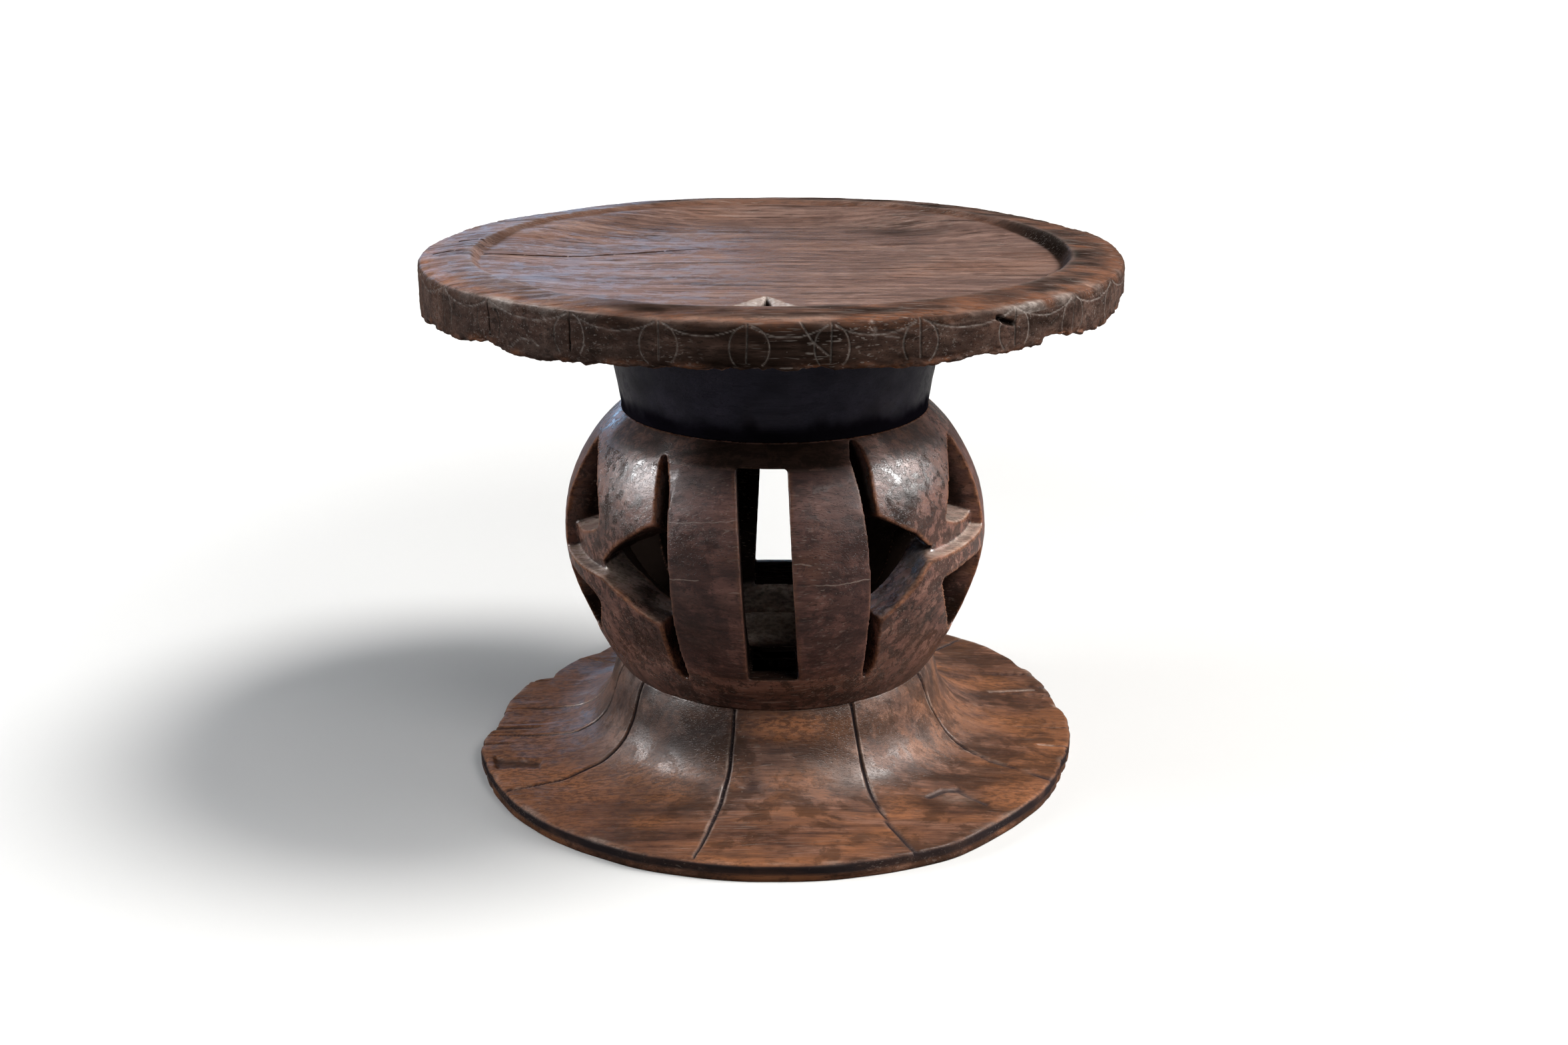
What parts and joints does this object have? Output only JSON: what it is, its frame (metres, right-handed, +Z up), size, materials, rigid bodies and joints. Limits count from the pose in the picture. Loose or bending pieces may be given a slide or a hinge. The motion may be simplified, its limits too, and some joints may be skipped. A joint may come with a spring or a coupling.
{
  "type": "carved wooden stool",
  "caption": "Low round wooden stool: dished seat with a raised rim on a flared neck, an openwork globe of ribs and cut panels, and a trumpet foot on a wide plate.",
  "frame": {"origin": "centre of the foot's underside, on the floor", "axes": "+Z up the stool's axis, -Y towards the front pair of ribs, +X to the right seen from the front"},
  "size_m": [0.5, 0.5, 0.389],
  "materials": {
    "seat_wood": "dark reddish brown hardwood, grain across the seat, waxed by use, worn at the rim",
    "neck_wood": "blackened hardwood, smooth and slightly glossy",
    "globe_wood": "very dark brown hardwood with tool marks, rubbed along the edges",
    "rib_wood": "very dark brown hardwood with a worn grey sheen and fine checks",
    "foot_wood": "reddish brown hardwood, mottled dark, polished in the hollow of the flare"
  },
  "bodies": {
    "root": {"seat": "seat_wood", "neck": "neck_wood", "globe_crown": "globe_wood", "front_left_upper_panel": "globe_wood", "front_right_upper_panel": "globe_wood", "back_right_upper_panel": "globe_wood", "back_left_upper_panel": "globe_wood", "front_left_lower_panel": "globe_wood", "front_right_lower_panel": "globe_wood", "back_right_lower_panel": "globe_wood", "back_left_lower_panel": "globe_wood", "front_left_rib": "rib_wood", "front_right_rib": "rib_wood", "back_right_rib": "rib_wood", "back_left_rib": "rib_wood", "left_side_rib": "rib_wood", "right_side_rib": "rib_wood", "globe_cup": "globe_wood", "foot": "foot_wood"}
  },
  "joints": []
}
